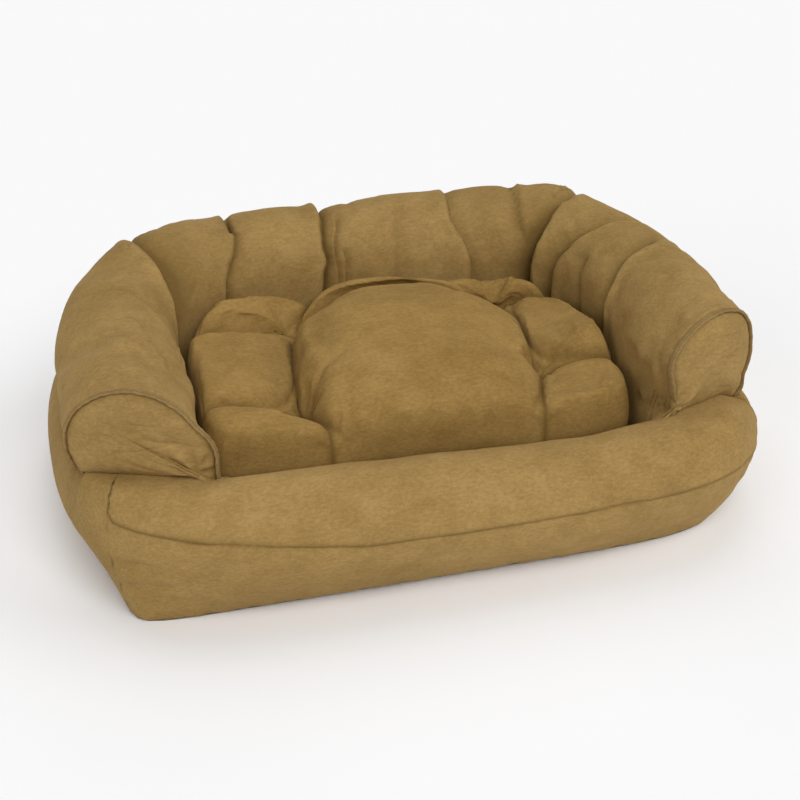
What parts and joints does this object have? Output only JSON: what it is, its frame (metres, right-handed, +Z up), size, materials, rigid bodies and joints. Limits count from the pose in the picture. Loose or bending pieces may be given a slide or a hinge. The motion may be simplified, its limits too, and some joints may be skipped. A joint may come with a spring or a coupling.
{
  "type": "dog sofa bed",
  "caption": "Overstuffed sofa-shaped dog bed in brushed suede: a padded base ring with a front rail, a U-shaped bolster of arms and back, and a loose tufted seat cushion that lifts out.",
  "frame": {"origin": "on the floor, under the middle of the bed's overall box", "axes": "+X to the right seen from the front, along the width; +Y to the back; +Z up; the open front faces -Y"},
  "size_m": [1.0116, 0.7693, 0.3298],
  "materials": {
    "suede": "brushed suede nap",
    "base_cloth": "plain weave",
    "welt_thread": "topstitched suede",
    "fibre_fill": "matt",
    "zip_tape": "woven tape with plastic teeth",
    "zip_metal": "satin"
  },
  "bodies": {
    "sofa": {"bottom_panel": "base_cloth", "base_pad": "fibre_fill", "well_lining": "base_cloth", "side_and_front_band": "suede", "back_upper_panel": "suede", "back_lower_panel": "suede", "front_rail_panel": "suede", "left_arm_sleeve": "suede", "right_arm_sleeve": "suede", "left_corner_sleeve": "suede", "right_corner_sleeve": "suede", "back_sleeve": "suede", "left_arm_cap": "suede", "right_arm_cap": "suede", "left_cap_welt": "welt_thread", "right_cap_welt": "welt_thread", "front_roll_fill": "fibre_fill", "left_wall_fill": "fibre_fill", "right_wall_fill": "fibre_fill", "back_wall_fill": "fibre_fill", "left_arm_fill": "fibre_fill", "right_arm_fill": "fibre_fill", "back_bolster_fill": "fibre_fill", "cover_zip_tapes": "zip_tape", "cover_zip_chain": "zip_tape", "cover_zip_stops": "zip_metal"},
    "seat_cushion": {"cushion_top_cover": "suede", "cushion_bottom_cover": "suede", "cushion_centre_fill": "fibre_fill", "cushion_border_fills": "fibre_fill", "cushion_tuft_ties": "welt_thread"},
    "cover_zip_slider": {"cover_zip_slider": "zip_metal"},
    "cover_zip_pull": {"cover_zip_pull": "zip_metal"}
  },
  "joints": [
    {"name": "cushion_lift", "type": "slide", "parent": "sofa", "child": "seat_cushion", "axis": [0, 0, 1], "range_m": [0, 0.36]},
    {"name": "cover_zip_slide", "type": "slide", "parent": "sofa", "child": "cover_zip_slider", "axis": [-1, 0, 0], "range_m": [0, 0.313]},
    {"name": "cover_zip_pull_hinge", "type": "hinge", "parent": "cover_zip_slider", "child": "cover_zip_pull", "pos_m": [0.1565, 0.3774, 0.12], "axis": [0, 0, 1], "range_deg": [0, 165]}
  ]
}
